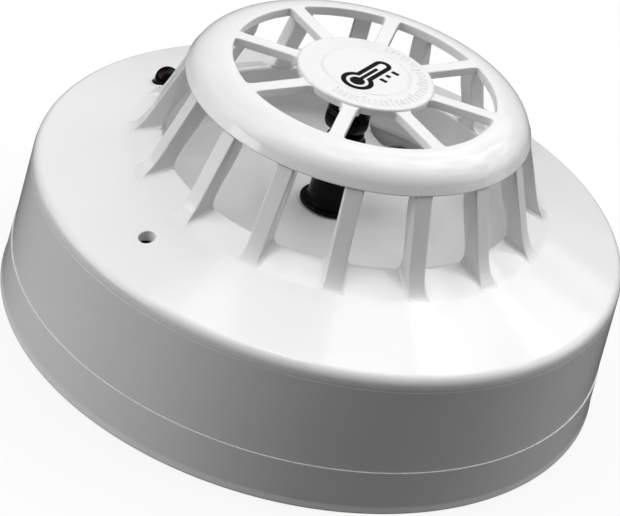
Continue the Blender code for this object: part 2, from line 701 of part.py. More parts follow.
def build_grub_screw():
    grub = make_object("locking_grub_screw", lathe(GRUB_PROFILE, 16))
    cut(grub, rod(0.85, 6, 10.2, 13.0))   # hexagon socket
    tidy(grub, GRUB_STEEL)
    grub.location = Vector((*LOCK_SPOT, 0.0)) * MM


build_base()
build_terminals()
build_springs()
build_seal()
build_cover()
build_chassis()
build_studs()
build_board()
solid("smoothing_capacitor", lathe(CAN_PROFILE, 20, centre=CAN_SPOT), CAN_SLEEVE)
build_chip()
build_transistor()
for axial_part in AXIAL_PARTS:
    build_axial(*axial_part)
build_reference_thermistor()
build_pillar()
build_lamp()
build_head_screws()
build_grub_screw()
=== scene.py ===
"""Looks of the heat detector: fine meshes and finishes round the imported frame.

Lengths are millimetres until they reach a mesh, in the same frame as the CAD:
origin at the centre of the base's mounting face, +Z out through the cage.
Angles are degrees, anticlockwise from +X as seen from the cage side.
"""

import math

import bmesh
import bpy
from mathutils import Matrix, Vector


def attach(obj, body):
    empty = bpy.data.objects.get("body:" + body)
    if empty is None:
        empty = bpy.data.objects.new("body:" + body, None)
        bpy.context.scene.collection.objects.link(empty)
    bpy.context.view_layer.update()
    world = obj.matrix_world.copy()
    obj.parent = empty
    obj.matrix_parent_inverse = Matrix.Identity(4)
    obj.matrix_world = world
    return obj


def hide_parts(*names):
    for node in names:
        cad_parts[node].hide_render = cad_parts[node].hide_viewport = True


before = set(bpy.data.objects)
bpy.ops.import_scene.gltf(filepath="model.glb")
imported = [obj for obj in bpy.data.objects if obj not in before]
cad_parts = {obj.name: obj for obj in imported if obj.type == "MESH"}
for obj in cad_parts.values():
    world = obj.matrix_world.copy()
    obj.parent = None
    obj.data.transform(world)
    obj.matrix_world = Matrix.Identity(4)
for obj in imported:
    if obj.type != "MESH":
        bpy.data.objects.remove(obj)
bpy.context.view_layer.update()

MM = 0.001                          # metres in a millimetre
TURN_SEGMENTS = 240                 # facets round the large turned shapes

# Cover: corners as (radius, z)
SHOULDER = (47.95, 24.03)           # corner of wall and slope
LIP = (34.3, 28.4)                  # where the slope steepens towards the rim
SLOPE_OUT = (LIP[1] - SHOULDER[1]) / (SHOULDER[0] - LIP[0])  # fall outside the lip
SLOPE_IN = 0.4545                   # and inside it
RIM = (28.86, 30.82)
BOWL_R, FLOOR_Z = 27.7, 22.6
POCKET_CENTRE, POCKET_R = (15.15, 31.84), 13.0

# Cage
FINS, FIN_FIRST = 16, 6.0
SPOKES, SPOKE_FIRST, SPOKE_WIDTH = 8, -5.25, 2.3
RING_IN = 21.05
HUB_R, HUB_TOP = 11.0, 47.34

# Small parts' places
LAMP_R = 2.1
PILLAR = (-0.4, -0.1)
TERMINAL_R = 26.5
TERMINAL_DEG = (50.0, 130.0, 230.0, 310.0, 90.0)
SPRINGS = 4                         # the first four terminals carry a contact spring
LUG_DEG = (32.0, 150.0, 270.0)
TWIST = 15.0                        # turn between the head's features and the base's


def polar(radius, degrees):
    return radius * math.cos(math.radians(degrees)), radius * math.sin(math.radians(degrees))


LAMP_SPOT = polar(34.5, 154.9)
LOCK_SPOT = polar(39.4, -129.65)
SCREW_SPOTS = [polar(25.4, 69.4), polar(25.4, 69.4 + 180.0)]


# ==========================================================================
# Mesh helpers
# ==========================================================================
def round_corners(points, steps=6):
    """A closed outline with arcs at its corners: points are (r, z) or (r, z, rounding)."""
    out = []
    for i, point in enumerate(points):
        radius = point[2] if len(point) > 2 else 0.0
        corner = Vector(point[:2])
        back = (Vector(points[i - 1][:2]) - corner).normalized()
        ahead = (Vector(points[(i + 1) % len(points)][:2]) - corner).normalized()
        half = math.acos(max(-1.0, min(1.0, back.dot(ahead)))) / 2
        if radius <= 0 or half > math.radians(89.7):    # sharp, or almost straight
            out.append(tuple(corner))
            continue
        reach = radius / math.tan(half)
        middle = corner + (back + ahead).normalized() * (radius / math.sin(half))
        first = corner + back * reach - middle
        last = corner + ahead * reach - middle
        turn = math.atan2(first.x * last.y - first.y * last.x, first.dot(last))
        count = max(2, round(abs(turn) / math.radians(90) * steps * 2))
        for k in range(count + 1):
            cos, sin = math.cos(turn * k / count), math.sin(turn * k / count)
            out.append((
                middle.x + first.x * cos - first.y * sin,
                middle.y + first.x * sin + first.y * cos,
            ))
    return out


def lathe(profile, segments=TURN_SEGMENTS, centre=(0.0, 0.0)):
    """A closed (r, z) outline turned about the vertical line through centre."""
    solid = bmesh.new()
    rings = []
    for radius, z in profile:
        if radius < 1e-6:
            pole = solid.verts.new((centre[0] * MM, centre[1] * MM, z * MM))
            rings.append([pole] * segments)
            continue
        ring = []
        for i in range(segments):
            angle = 2 * math.pi * i / segments
            x = centre[0] + radius * math.cos(angle)
            y = centre[1] + radius * math.sin(angle)
            ring.append(solid.verts.new((x * MM, y * MM, z * MM)))
        rings.append(ring)
    for k, ring in enumerate(rings):
        after = rings[(k + 1) % len(rings)]
        if ring[0] is ring[1] and after[0] is after[1]:
            continue
        for i in range(segments):
            j = (i + 1) % segments
            face = []
            for vert in (ring[i], ring[j], after[j], after[i]):
                if vert not in face:
                    face.append(vert)
            if len(face) > 2:
                solid.faces.new(face)
    bmesh.ops.recalc_face_normals(solid, faces=solid.faces)
    return solid


def loft(rings):
    """Closed rings of points joined one to the next, and capped."""
    solid = bmesh.new()
    made = [[solid.verts.new((x * MM, y * MM, z * MM)) for x, y, z in ring] for ring in rings]
    solid.faces.new(made[0])
    solid.faces.new(made[-1])
    count = len(made[0])
    for low, high in zip(made, made[1:]):
        for i in range(count):
            j = (i + 1) % count
            solid.faces.new([low[i], low[j], high[j], high[i]])
    bmesh.ops.recalc_face_normals(solid, faces=solid.faces)
    return solid


def bevel_edges(solid, edges, offset, segments):
    bmesh.ops.bevel(
        solid, geom=edges, offset=offset * MM, segments=segments, profile=0.5,
        affect="EDGES", clamp_overlap=True,
    )


def prism(outline, heights, rounding=0.0, both=False):
    """An (x, y) outline raised between two heights, its upper (or both) edges rounded."""
    solid = loft([[(x, y, z) for x, y in outline] for z in heights])
    if rounding > 0:
        levels = heights if both else heights[1:]
        edges = [
            edge for edge in solid.edges
            if any(all(abs(v.co.z - z * MM) < 1e-7 for v in edge.verts) for z in levels)
        ]
        bevel_edges(solid, edges, rounding, segments=3)
    return solid


def cylinder(radius, heights, segments, spot=(0.0, 0.0)):
    steps = [2 * math.pi * i / segments for i in range(segments)]
    return moved(prism([(radius * math.cos(a), radius * math.sin(a)) for a in steps], heights), spot)


def sector(radii, heights, angles, count):
    """Part of a flat ring between two angles, in count steps."""
    start, end = angles
    steps = [math.radians(start + (end - start) * i / count) for i in range(count + 1)]
    outline = [(radii[1] * math.cos(a), radii[1] * math.sin(a)) for a in steps]
    outline += [(radii[0] * math.cos(a), radii[0] * math.sin(a)) for a in reversed(steps)]
    return prism(outline, heights)


def rounded_rect(width, height, radius, steps=5):
    points = []
    for k, (side_x, side_y) in enumerate(((1, 1), (-1, 1), (-1, -1), (1, -1))):
        for i in range(steps + 1):
            angle = math.pi / 2 * (k + i / steps)
            points.append((
                side_x * (width / 2 - radius) + radius * math.cos(angle),
                side_y * (height / 2 - radius) + radius * math.sin(angle),
            ))
    return points


def turned(solid, degrees):
    solid.transform(Matrix.Rotation(math.radians(degrees), 4, "Z"))
    return solid


def moved(solid, spot):
    solid.transform(Matrix.Translation(Vector((*spot, 0.0)) * MM))
    return solid


def gather(parts):
    """Several solids as one, without a boolean."""
    whole = bmesh.new()
    for solid in parts:
        mesh = bpy.data.meshes.new("part")
        solid.to_mesh(mesh)
        solid.free()
        whole.from_mesh(mesh)
        bpy.data.meshes.remove(mesh)
    return whole


def link_object(name, data):
    obj = bpy.data.objects.new(name, data)
    bpy.context.scene.collection.objects.link(obj)
    return obj


def new_object(name, solid):
    bmesh.ops.recalc_face_normals(solid, faces=solid.faces)
    mesh = bpy.data.meshes.new(name)
    solid.to_mesh(mesh)
    solid.free()
    return link_object(name, mesh)


def combine(obj, solid, operation):
    tool = new_object("tool", solid)
    modifier = obj.modifiers.new("join", "BOOLEAN")
    modifier.operation = operation
    modifier.solver = "EXACT"
    modifier.object = tool
    bpy.context.view_layer.update()
    graph = bpy.context.evaluated_depsgraph_get()
    mesh = bpy.data.meshes.new_from_object(obj.evaluated_get(graph))
    obj.modifiers.remove(modifier)
    old, obj.data = obj.data, mesh
    bpy.data.meshes.remove(old)
    tool_mesh = tool.data
    bpy.data.objects.remove(tool, do_unlink=True)
    bpy.data.meshes.remove(tool_mesh)


def join(obj, *parts):
    for solid in parts:
        combine(obj, solid, "UNION")
    return obj


def cut(obj, *parts):
    for solid in parts:
        combine(obj, solid, "DIFFERENCE")
    return obj


def place(source, name, index, degrees, spot=(0.0, 0.0)):
    """The source itself at index 0 and a copy of it otherwise, set in its place."""
    obj = link_object(f"{name}_{index + 1}", source.data.copy()) if index else source
    obj.location = Vector((*spot, 0.0)) * MM
    obj.rotation_euler = (0.0, 0.0, math.radians(degrees))
    return obj


def finish(obj, material, body, nodes=(), sharp_deg=32.0):
    """Shading, material, the body it rides on and the CAD nodes it stands for."""
    mesh = obj.data
    mesh.materials.clear()
    mesh.materials.append(material)
    mesh.shade_smooth()
    mesh.set_sharp_from_angle(angle=math.radians(sharp_deg))
    modifier = obj.modifiers.new("normals", "WEIGHTED_NORMAL")
    modifier.mode = "FACE_AREA"
    modifier.keep_sharp = True
    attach(obj, body)
    if nodes:
        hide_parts(*nodes)


# ==========================================================================
# Materials
# ==========================================================================
class Look:
    """A short way to write a material's node tree."""

    def __init__(self, name):
        self.material = bpy.data.materials.new(name)
        self.material.use_nodes = True
        self.tree = self.material.node_tree
        self.shader = self.tree.nodes["Principled BSDF"]
        self.coords = self.add("ShaderNodeTexCoord").outputs["Object"]

    def add(self, kind, **settings):
        node = self.tree.nodes.new(kind)
        for key, value in settings.items():
            setattr(node, key, value)
        return node

    def link(self, source, target):
        self.tree.links.new(source, target)

    def put(self, target, value):
        """Feed an input from a socket, or give it a value."""
        if isinstance(value, bpy.types.NodeSocket):
            self.link(value, target)
        else:
            target.default_value = value

    def noise(self, scale, detail=3.0, rough=0.5, stretch=None, distortion=0.0):
        texture = self.add("ShaderNodeTexNoise")
        texture.inputs["Scale"].default_value = scale
        texture.inputs["Detail"].default_value = detail
        texture.inputs["Roughness"].default_value = rough
        texture.inputs["Distortion"].default_value = distortion
        place_on = self.coords
        if stretch:
            mapping = self.add("ShaderNodeMapping")
            mapping.inputs["Scale"].default_value = stretch
            self.link(self.coords, mapping.inputs["Vector"])
            place_on = mapping.outputs["Vector"]
        self.link(place_on, texture.inputs["Vector"])
        return texture.outputs["Fac"]

    def voronoi(self, scale):
        texture = self.add("ShaderNodeTexVoronoi", feature="F1")
        texture.inputs["Scale"].default_value = scale
        self.link(self.coords, texture.inputs["Vector"])
        return texture.outputs["Distance"]

    def calc(self, operation, first, second, clamp=False):
        node = self.add("ShaderNodeMath", operation=operation, use_clamp=clamp)
        self.put(node.inputs[0], first)
        self.put(node.inputs[1], second)
        return node.outputs[0]

    def remap(self, value, span, to=(0.0, 1.0)):
        node = self.add("ShaderNodeMapRange")
        self.put(node.inputs["Value"], value)
        for key, number in zip(("From Min", "From Max", "To Min", "To Max"), (*span, *to)):
            node.inputs[key].default_value = number
        return node.outputs["Result"]

    def mix(self, factor, first, second):
        node = self.add("ShaderNodeMix", data_type="RGBA")
        self.put(node.inputs["Factor"], factor)
        self.put(node.inputs[6], first)
        self.put(node.inputs[7], second)
        return node.outputs[2]

    def bevel(self, radius):
        node = self.add("ShaderNodeBevel", samples=4)
        node.inputs["Radius"].default_value = radius * MM
        return node.outputs["Normal"]

    def edge(self, rounded):
        """0 on flat material, rising to 1 on an edge, from the rounded normal."""
        geometry = self.add("ShaderNodeNewGeometry")
        dot = self.add("ShaderNodeVectorMath", operation="DOT_PRODUCT")
        self.link(rounded, dot.inputs[0])
        self.link(geometry.outputs["Normal"], dot.inputs[1])
        return self.remap(dot.outputs["Value"], span=(0.995, 0.90))

    def edge_tint(self, edge, tint, colour, strength):
        """The tint with another colour laid over its edges."""
        return self.mix(self.calc("MULTIPLY", edge, strength), tint, colour)

    def bump(self, height, strength, distance, normal=None):
        """Relief; distance is in metres."""
        node = self.add("ShaderNodeBump")
        node.inputs["Strength"].default_value = strength
        node.inputs["Distance"].default_value = distance
        self.link(height, node.inputs["Height"])
        if normal is not None:
            self.link(normal, node.inputs["Normal"])
        return node.outputs["Normal"]

    def crevice(self, distance):
        # ambient occlusion over the given distance, for shade painted into crevices
        node = self.add("ShaderNodeAmbientOcclusion", samples=4)
        node.inputs["Distance"].default_value = distance
        return node.outputs["AO"]

    def set(self, **values):
        """Set the shader's inputs, with underscores for the spaces in their names."""
        for key, value in values.items():
            self.put(self.shader.inputs[key.replace("_", " ")], value)
        return self.material


def grey(tone, warm=0.0):
    return (tone + warm, tone, tone - warm, 1.0)


def scaled(colour, factor, lift=0.0):
    """An opaque colour made darker or brighter."""
    return tuple(min(1.0, c * factor + lift) for c in colour[:3]) + (1.0,)


def moulded_white(name, tone, rough, warm=0.0, grain=0.5):
    """Moulded white plastic: faint cloudiness, painted shade in the crevices, and polished edges
    whose lighter colour is partly wear and partly a painted highlight.
    """
    look = Look(name)
    rounded = look.bevel(radius=0.22)
    edge = look.edge(rounded)
    cloud = look.noise(scale=38.0, detail=4.0, rough=0.55)
    speck = look.voronoi(scale=620.0)
    clean, cloudy = grey(tone, warm), grey(tone * 0.965, warm * 2.0)
    tint = look.mix(look.remap(cloud, span=(0.35, 0.70)), clean, cloudy)
    specks = look.remap(speck, span=(0.03, 0.0), to=(0.0, 0.22))
    tint = look.mix(specks, tint, grey(tone * 0.62, warm=0.001))
    # painted shade: ambient occlusion greys the white in crevices and recesses, where shade falls
    shade = look.crevice(distance=0.0016)
    dust_and_painted_shade = look.remap(shade, span=(0.25, 0.95), to=(0.20, 0.0))
    tint = look.mix(dust_and_painted_shade, tint, grey(tone * 0.70, warm=0.001))
    # lighter edges: partly wear, partly a painted highlight along the rounded edges
    tint = look.edge_tint(edge, tint, grey(min(0.93, tone * 1.05)), strength=0.35)
    smear = look.noise(scale=95.0, detail=5.0, rough=0.6, distortion=0.6)
    smeared = look.remap(smear, span=(0.3, 0.75), to=(rough - 0.02, rough + 0.04))
    roughness = look.calc("ADD", smeared, look.calc("MULTIPLY", edge, -0.02))
    peel = look.noise(scale=760.0)
    fine = look.noise(scale=5200.0, detail=2.0)
    normal = look.bump(peel, strength=0.035 * grain, distance=0.00025, normal=rounded)
    normal = look.bump(fine, strength=0.05 * grain, distance=0.00003, normal=normal)
    return look.set(
        Base_Color=tint, Roughness=roughness, Normal=normal, IOR=1.5,
        Subsurface_Weight=0.04, Subsurface_Radius=(0.0012, 0.0011, 0.0010), Subsurface_Scale=1.0,
    )


def moulded_black(name, tone, rough, edge_mm=0.15):
    """Black plastic, epoxy or ink with a trace of dust and paler edges."""
    look = Look(name)
    rounded = look.bevel(edge_mm)
    edge = look.edge(rounded)
    cloud = look.noise(scale=220.0, detail=4.0, rough=0.6)
    dust_and_painted_shade = look.noise(scale=1500.0, detail=4.0, rough=0.7)
    tint = look.mix(look.remap(cloud, span=(0.3, 0.75)), grey(tone), grey(tone * 1.7))
    tint = look.mix(look.remap(dust_and_painted_shade, span=(0.66, 0.82), to=(0.0, 0.10)), tint, grey(0.012))
    tint = look.edge_tint(edge, tint, grey(tone * 3.5), strength=0.30)
    normal = look.bump(look.noise(scale=1400.0), strength=0.05, distance=0.0002, normal=rounded)
    roughness = look.remap(dust_and_painted_shade, span=(0.2, 0.85), to=(rough, rough + 0.10))
    return look.set(
        Base_Color=tint, Roughness=roughness, Normal=normal, IOR=1.5, Specular_IOR_Level=0.09
    )


def metal(name, colour, rough, streak=(1.0, 1.0, 1.0), tarnish=0.35):
    """Bare or plated metal; a small streak factor draws the grain out along that axis."""
    look = Look(name)
    rounded = look.bevel(radius=0.06)
    edge = look.edge(rounded)
    lines = look.noise(scale=2600.0, rough=0.6, stretch=streak)
    patches = look.noise(scale=420.0, detail=4.0, rough=0.6)
    tarnished = look.remap(patches, span=(0.42, 0.75), to=(0.0, tarnish))
    tint = look.mix(tarnished, colour + (1.0,), scaled(colour, 0.62))
    tint = look.edge_tint(edge, tint, scaled(colour, 1.25), strength=0.6)
    normal = look.bump(lines, strength=0.10, distance=0.00004, normal=rounded)
    roughness = look.remap(lines, span=(0.25, 0.75), to=(rough - 0.06, rough + 0.12))
    return look.set(Base_Color=tint, Metallic=1.0, Roughness=roughness, Normal=normal)


def mottled(name, colour, rough, variation=0.25, scale=500.0, bump=0.1):
    """A small part's moulded or dipped body, with mottling and soft edges."""
    look = Look(name)
    rounded = look.bevel(radius=0.08)
    edge = look.edge(rounded)
    patches = look.noise(scale, detail=4.0, rough=0.6)
    dark = scaled(colour, 1.0 - variation)
    bright = scaled(colour, 1.0 + variation, lift=0.01)
    tint = look.mix(look.remap(patches, span=(0.3, 0.7)), bright, dark)
    tint = look.edge_tint(edge, tint, scaled(colour, 1.5, lift=0.03), strength=0.25)
    normal = look.bump(look.noise(scale * 4.0), bump, distance=0.00005, normal=rounded)
    roughness = look.remap(patches, span=(0.3, 0.7), to=(rough - 0.05, rough + 0.08))
    return look.set(Base_Color=tint, Roughness=roughness, Normal=normal)


def lens_material():
    look = Look("lamp_dark_red_lens")
    # painted sheen: the lens colour turns a lighter red towards its glancing rim, by view angle
    depth = look.add("ShaderNodeLayerWeight")
    depth.inputs["Blend"].default_value = 0.35
    swirl = look.noise(scale=420.0)
    facing, glancing_sheen = (0.004, 0.0012, 0.0012, 1.0), (0.010, 0.002, 0.002, 1.0)
    tint = look.mix(depth.outputs["Facing"], facing, glancing_sheen)
    swirled = look.remap(swirl, span=(0.4, 0.7), to=(0.0, 0.4))
    tint = look.mix(swirled, tint, (0.002, 0.001, 0.001, 1.0))
    ripple = look.noise(scale=900.0, detail=2.0, rough=0.4)
    normal = look.bump(ripple, strength=0.015, distance=0.0002)
    roughness = look.remap(swirl, span=(0.3, 0.7), to=(0.03, 0.06))
    return look.set(
        Base_Color=tint, Roughness=roughness, Normal=normal, IOR=1.5, Specular_IOR_Level=0.08
    )


# Resistor rings: start and end along the piece's box (0 to 1), and colour
RINGS = [
    (0.30, 0.35, (0.12, 0.05, 0.02, 1.0)),
    (0.40, 0.45, (0.01, 0.01, 0.01, 1.0)),
    (0.50, 0.55, (0.55, 0.04, 0.03, 1.0)),
    (0.66, 0.70, (0.60, 0.42, 0.12, 1.0)),
]


def resistor_material(name, axis):
    """Tan lacquer with painted rings, and bare wire ends, along one axis of the box."""
    lacquer = (0.56, 0.41, 0.25, 1.0)
    wire_ends = (0.19, 0.81)
    look = Look(name)
    generated = look.add("ShaderNodeTexCoord").outputs["Generated"]
    split = look.add("ShaderNodeSeparateXYZ")
    look.link(generated, split.inputs[0])
    along = split.outputs[axis]
    ramp = look.add("ShaderNodeValToRGB")
    ramp.color_ramp.interpolation = "CONSTANT"
    elements = ramp.color_ramp.elements
    elements[0].color = lacquer
    elements[1].color = lacquer
    for start, end, colour in RINGS:
        elements.new(start).color = colour
        elements.new(end).color = lacquer
    look.link(along, ramp.inputs["Fac"])
    patches = look.noise(scale=700.0, detail=4.0, rough=0.6)
    stain = look.remap(patches, span=(0.35, 0.7), to=(0.0, 0.25))
    tint = look.mix(stain, ramp.outputs["Color"], scaled(lacquer, 0.6))
    before = look.calc("LESS_THAN", along, wire_ends[0])
    beyond = look.calc("GREATER_THAN", along, wire_ends[1])
    wires = look.calc("ADD", before, beyond, clamp=True)
    tint = look.mix(wires, tint, (0.62, 0.61, 0.59, 1.0))
    grain = look.noise(scale=1800.0)
    normal = look.bump(grain, strength=0.12, distance=0.00005, normal=look.bevel(radius=0.1))
    return look.set(Base_Color=tint, Metallic=wires, Roughness=0.32, Normal=normal)


def board_material():
    """Green solder mask over tracks and glass weave."""
    look = Look("board_green_mask")
    brick = look.add("ShaderNodeTexBrick", offset=0.35, squash=1.4)
    brick.inputs["Scale"].default_value = 95.0
    brick.inputs["Mortar Size"].default_value = 0.055
    brick.inputs["Brick Width"].default_value = 0.9
    brick.inputs["Row Height"].default_value = 0.32
    look.link(look.coords, brick.inputs["Vector"])
    areas = look.noise(scale=150.0, detail=1.0, rough=0.4)
    tracks = look.calc("GREATER_THAN", areas, 0.5)
    lines = look.calc("MULTIPLY", brick.outputs["Fac"], tracks)
    cloud = look.remap(look.noise(scale=60.0, detail=4.0), span=(0.3, 0.7))
    tint = look.mix(cloud, (0.018, 0.115, 0.045, 1.0), (0.030, 0.155, 0.060, 1.0))
    tint = look.mix(look.calc("MULTIPLY", lines, 0.7), tint, (0.075, 0.26, 0.10, 1.0))
    weave = look.noise(scale=2400.0, detail=2.0, stretch=(1.0, 0.2, 1.0))
    height = look.calc("ADD", lines, look.calc("MULTIPLY", weave, 0.25))
    roughness = look.remap(look.noise(scale=300.0), span=(0.3, 0.7), to=(0.28, 0.42))
    normal = look.bump(height, strength=0.35, distance=0.00005, normal=look.bevel(radius=0.08))
    return look.set(Base_Color=tint, Roughness=roughness, Normal=normal)


cover_mat = moulded_white("cover_white_gloss", tone=0.82, rough=0.085)
base_mat = moulded_white("base_white_gloss", tone=0.82, rough=0.12)
chassis_mat = moulded_white("chassis_white_satin", tone=0.76, rough=0.34, warm=0.001, grain=1.2)
holder_mat = moulded_black("holder_black_gloss", tone=0.0015, rough=0.16)
tip_mat = moulded_black("tip_black_epoxy", tone=0.0015, rough=0.14, edge_mm=0.3)
ink_mat = moulded_black("printed_black_ink", tone=0.002, rough=0.5, edge_mm=0.03)
seal_mat = mottled(
    "seal_pale_rubber", (0.62, 0.62, 0.61), rough=0.62, variation=0.08, scale=300.0, bump=0.35
)
screw_mat = metal("plated_screw_steel", (0.34, 0.335, 0.33), rough=0.24, streak=(1.0, 1.0, 0.2))
terminal_mat = metal("zinc_plated_steel", (0.66, 0.65, 0.62), rough=0.22, streak=(1.0, 0.15, 1.0))
spring_mat = metal(
    "stainless_strip", (0.62, 0.61, 0.60), rough=0.20, streak=(0.12, 1.0, 1.0), tarnish=0.2
)
wire_mat = metal("tinned_wire_bright", (0.72, 0.71, 0.69), rough=0.26)
grub_mat = metal("black_oxide_steel", (0.20, 0.20, 0.205), rough=0.38, tarnish=0.5)


# ==========================================================================
# Front cover: wall, slope, bowl, cage
# ==========================================================================
# The turned shell, (r, z[, rounding]): up the wall, over the rim, then back underneath
SHELL = [
    (47.3, 7.58), (49.06, 7.58, 0.06), (48.305, 21.92), (48.262, 21.95), (48.285, 22.3),
    (*SHOULDER, 1.9), (*LIP, 9.0), (*RIM, 0.55),
    (BOWL_R - 0.04, FLOOR_Z, 2.0), (0.0, FLOOR_Z),
    (0.0, FLOOR_Z - 1.4), (BOWL_R - 0.2, FLOOR_Z - 1.4), (29.2, FLOOR_Z + 0.4),
    (30.2, 28.0), (34.5, 26.5), (45.7, 23.1, 1.5), (46.4, 21.0),
]
# The hub, (r, z[, rounding]), with a fine groove round its flat top
HUB = [
    (0, 45.7), (10.75, 45.7, 0.15), (HUB_R, 47.17, 0.4), (7.3, HUB_TOP - 0.04, 0.05),
    (7.18, HUB_TOP - 0.14, 0.05), (6.98, HUB_TOP - 0.14, 0.05), (6.84, HUB_TOP, 0.05),
    (0, HUB_TOP + 0.01),
]
# A fin's inner edge: height over the slope, radius
FIN_INNER = [
    (-2.0, 29.25), (0.0, 28.8), (0.8, 28.7), (1.8, 28.35), (2.9, 27.85),
    (4.45, 27.0), (6.2, 26.0), (8.0, 25.3), (10.0, 25.15), (12.2, 25.3),
]
# Heights over the slope of a fin's rings
FIN_HEIGHTS = [
    -0.6, -0.25, 0.0, 0.02, 0.06, 0.12, 0.2, 0.3, 0.45, 0.65, 0.9, 1.2,
    1.6, 2.05, 2.6, 3.3, 4.2, 5.3, 6.5, 7.8, 9.2, 10.6, 11.6, 12.2,
]
THICK_FIN, THICKENING = 7, 0.65
# Distances from the axis of a spoke's rings
SPOKE_STATIONS = [
    9.6, 10.4, 10.9, 11.0, 11.2, 11.5, 11.9, 12.4, 14.0, 16.0,
    18.0, 19.5, 20.1, 20.5, 20.8, 20.95, 21.05, 21.6, 22.3,
]


def slope_z(radius):
    """Height of the cover's outer surface at a radius inside the shoulder."""
    if radius < LIP[0]:
        return LIP[1] + (LIP[0] - radius) * SLOPE_IN
    return LIP[1] - (radius - LIP[0]) * SLOPE_OUT


def fin_inner(height):
    for (low, low_r), (high, high_r) in zip(FIN_INNER, FIN_INNER[1:]):
        if height <= high:
            return low_r + (high_r - low_r) * (height - low) / (high - low)
    return FIN_INNER[-1][1]


def flare(size, distance, reach):
    """Widening that fades from size to nothing over reach, like a fillet."""
    return size * (1.0 - math.sqrt(distance / reach)) ** 2 if distance < reach else 0.0


def fin(thicker=0.0):
    """One fin, along +X. Each ring lies parallel to the slope at its height over it.

    thicker is added to its clockwise side, from just above the slope upwards.
    """
    corner = 0.26
    rings = []
    for height in FIN_HEIGHTS:
        above = max(height, 0.0)
        skirt = flare(0.55, above, 0.9)
        outer_r = 32.72 - 0.466 * above + flare(1.75, above, 3.2) + (0.25 if height < 0 else 0.0)
        middle_r = 29.15 - 0.16 * above
        if height > 11.7:           # the top ring is drawn in
            outer_r -= 0.6
            middle_r = outer_r - 0.5
        inner_r = fin_inner(height)
        # half widths
        outer_w, middle_w, inner_w = 1.375 + skirt, 1.455 + skirt, 1.33 + skirt * 0.6
        side = []
        for k in range(4):
            angle = math.pi / 2 * k / 3
            side.append((
                outer_r - corner + corner * math.cos(angle),
                outer_w - corner + corner * math.sin(angle),
            ))
        side += [
            (middle_r + 0.02, middle_w), (middle_r - 0.12, middle_w),
            (inner_r + 0.18, inner_w), (inner_r, inner_w - 0.18),
        ]
        extra = thicker * max(0.0, min(1.0, (height - 0.3) / 0.9))
        ring = [(x, y, slope_z(x) + height) for x, y in side]
        ring += [(x, -y - extra, slope_z(x) + height) for x, y in reversed(side)]
        rings.append(ring)
    return loft(rings)


def spoke():
    """One spoke, along +X, from under the hub into the ring, flared at both ends."""
    low, ease = 45.35, 0.22         # underside, and easing of the top edges
    rings = []
    for x in SPOKE_STATIONS:
        near_hub, near_ring = max(0.0, x - 10.9), max(0.0, RING_IN - x)
        grow = flare(0.45, near_hub, 1.3) + flare(0.55, near_ring, 1.3)
        width = SPOKE_WIDTH / 2 + grow
        top = 46.74 if x < 21.3 else (46.62 if x < 22.0 else 46.4)
        half = [
            (width - 0.05, low), (width, low + 0.05), (width, top - ease),
            (width - ease * 0.3, top - ease * 0.3), (width - ease, top),
        ]
        rings.append([(x, y, z) for y, z in half] + [(x, -y, z) for y, z in reversed(half)])
    return loft(rings)


def ring_profile():
    """The ring over the fins: an elliptic top, closed by a lower and an inner line."""
    centre, reach, start = (21.3, 42.2), (6.2, 4.55), 21.3
    dome = []
    for k in range(17):
        angle = math.radians(start + (90.0 - start) * k / 16)
        dome.append((
            centre[0] + reach[0] * math.cos(angle), centre[1] + reach[1] * math.sin(angle)
        ))
    lower = round_corners([(26.3, 42.62), (27.78, 42.5, 0.12), dome[0]], 4)[:-1]
    inside = [
        (21.9, 46.75), (RING_IN, 46.75, 0.22), (RING_IN, 45.2, 0.1), (23.6, 45.1), (25.7, 44.1)
    ]
    return lower + dome + round_corners(inside, 4)[1:]


def graduation(degrees, start, end):
    """One raised bar of the plain scale moulded on the hub's sloping margin."""
    rings = []
    for x in (start, start + 0.06, end - 0.06, end):
        top = HUB_TOP - 0.04 - (x - 7.3) * 0.035
        width, rise = (0.17, 0.04) if x in (start, end) else (0.21, 0.075)
        high = top + rise
        rings.append([
            (x, -width, top - 0.25), (x, width, top - 0.25), (x, width, high - 0.04),
            (x, width - 0.06, high), (x, -width + 0.06, high), (x, -width, high - 0.04),
        ])
    return turned(loft(rings), degrees)


def cage_solid():
    """Ring, spokes, hub and the hub's scale of 33 bars, every fifth one long."""
    cage = new_object("cage_tool", lathe(ring_profile()))
    spokes = [turned(spoke(), SPOKE_FIRST + k * 360.0 / SPOKES) for k in range(SPOKES)]
    hub = lathe(round_corners(HUB, 5), 160)
    bars = [
        graduation(-116.0 + 6.0 * k, 7.95 if k % 5 == 0 else 8.5, 9.75) for k in range(33)
    ]
    join(cage, gather(spokes), hub, gather(bars))
    solid = bmesh.new()
    solid.from_mesh(cage.data)
    bpy.data.objects.remove(cage, do_unlink=True)
    return solid


def pocket(radius, clip_r, heights, degrees):
    """The part of a disc round POCKET_CENTRE within clip_r of the axis, then turned."""
    away = math.hypot(*POCKET_CENTRE)
    middle = math.atan2(POCKET_CENTRE[1], POCKET_CENTRE[0])
    spread = math.acos((clip_r**2 + away**2 - radius**2) / (2 * clip_r * away))
    outline = []
    for i in range(31):
        angle = middle + spread * (1 - i / 15)
        outline.append((clip_r * math.cos(angle), clip_r * math.sin(angle)))
    start, end = [
        math.atan2(y - POCKET_CENTRE[1], x - POCKET_CENTRE[0])
        for x, y in (outline[-1], outline[0])
    ]
    while end > start:
        end -= 2 * math.pi
    for i in range(1, 30):
        angle = start + (end - start) * i / 30
        outline.append((
            POCKET_CENTRE[0] + radius * math.cos(angle),
            POCKET_CENTRE[1] + radius * math.sin(angle),
        ))
    return turned(prism(outline, heights), degrees)


